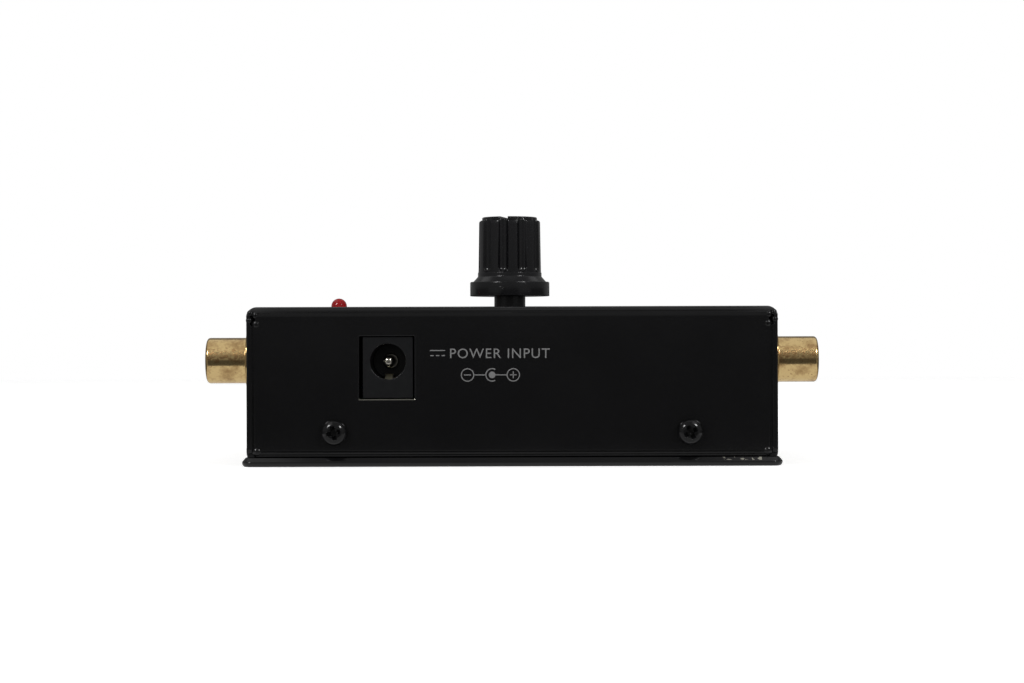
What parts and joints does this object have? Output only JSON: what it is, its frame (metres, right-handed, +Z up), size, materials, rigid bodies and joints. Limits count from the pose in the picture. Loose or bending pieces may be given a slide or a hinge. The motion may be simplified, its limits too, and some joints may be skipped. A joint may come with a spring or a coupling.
{
  "type": "line preamplifier",
  "caption": "Small steel box with a fluted volume knob and a lamp on top, a barrel power inlet on one long side and gold phono sockets on both short sides.",
  "frame": {"origin": "middle of the underside, on the surface that the case stands on", "axes": "+Z up, -Y towards the side with the power inlet, +X towards the output sockets"},
  "size_m": [0.113, 0.0698, 0.0463],
  "materials": {
    "powder_coat": "gloss black powder coat with fine orange peel",
    "black_screw": "black zinc, satin",
    "zinc_steel": "bright zinc plate",
    "gold_plate": "gold plate with mottled tarnish",
    "inlet_plastic": "dark grey moulded nylon",
    "nickel": "nickel plate",
    "spring_bronze": "tinned phosphor bronze",
    "socket_insulator": "cream moulded plastic",
    "tinned_copper": "tinned",
    "knob_plastic": "charcoal moulded plastic, fine grain",
    "shaft_plastic": "black moulded plastic",
    "rotor_plastic": "natural moulded plastic",
    "wafer": "brown paper laminate with carbon track",
    "lamp_red": "red diffused resin",
    "lamp_spacer": "white nylon",
    "board_laminate": "green solder mask over glass laminate",
    "chip_plastic": "black moulding compound",
    "sleeve_blue": "blue shrink sleeve",
    "sleeve_black": "black shrink sleeve",
    "film_red": "red dipped resin",
    "resistor_blue": "pale blue lacquer"
  },
  "bodies": {
    "chassis": {"top_cover": "powder_coat", "base_plate": "powder_coat", "case_screws": "black_screw", "board_spacers": "nickel", "base_screws": "zinc_steel", "board_screws": "zinc_steel", "circuit_board": "board_laminate", "inlet_housing": "inlet_plastic", "inlet_pin": "nickel", "inlet_anchor": "spring_bronze", "inlet_switch_contact": "spring_bronze", "input_left_barrel": "gold_plate", "input_left_insulator": "socket_insulator", "input_left_contact": "gold_plate", "input_left_tag": "tinned_copper", "input_left_nut": "gold_plate", "input_right_barrel": "gold_plate", "input_right_insulator": "socket_insulator", "input_right_contact": "gold_plate", "input_right_tag": "tinned_copper", "input_right_nut": "gold_plate", "output_left_barrel": "gold_plate", "output_left_insulator": "socket_insulator", "output_left_contact": "gold_plate", "output_left_tag": "tinned_copper", "output_left_nut": "gold_plate", "output_right_barrel": "gold_plate", "output_right_insulator": "socket_insulator", "output_right_contact": "gold_plate", "output_right_tag": "tinned_copper", "output_right_nut": "gold_plate", "input_wires": "tinned_copper", "output_wires": "tinned_copper", "control_case": "zinc_steel", "control_bushing": "nickel", "control_lower_wafer": "wafer", "control_upper_wafer": "wafer", "control_spacer": "shaft_plastic", "control_terminals": "tinned_copper", "lamp_lens": "lamp_red", "lamp_leads": "tinned_copper", "lamp_spacer": "lamp_spacer", "opamp_package": "chip_plastic", "opamp_pins": "tinned_copper", "filter_capacitor": "sleeve_blue", "coupling_capacitors": "sleeve_black", "film_capacitors": "film_red", "resistors": "resistor_blue", "supply_diode": "chip_plastic", "voltage_regulator": "chip_plastic"},
    "knob": {"volume_knob": "knob_plastic", "control_shaft": "shaft_plastic", "control_rotor": "rotor_plastic", "control_wipers": "spring_bronze"},
    "inlet_leaf": {"inlet_spring": "spring_bronze"}
  },
  "joints": [
    {"name": "volume_turn", "type": "hinge", "parent": "chassis", "child": "knob", "pos_m": [-0.0004, 0, 0.0286], "axis": [0, 0, 1], "range_deg": [-138, 162]},
    {"name": "inlet_spring_press", "type": "hinge", "parent": "chassis", "child": "inlet_leaf", "pos_m": [-0.0222, -0.0201, 0.0144], "axis": [1, 0, 0], "range_deg": [0, 6], "stiffness_Nm_per_rad": 0.2}
  ]
}
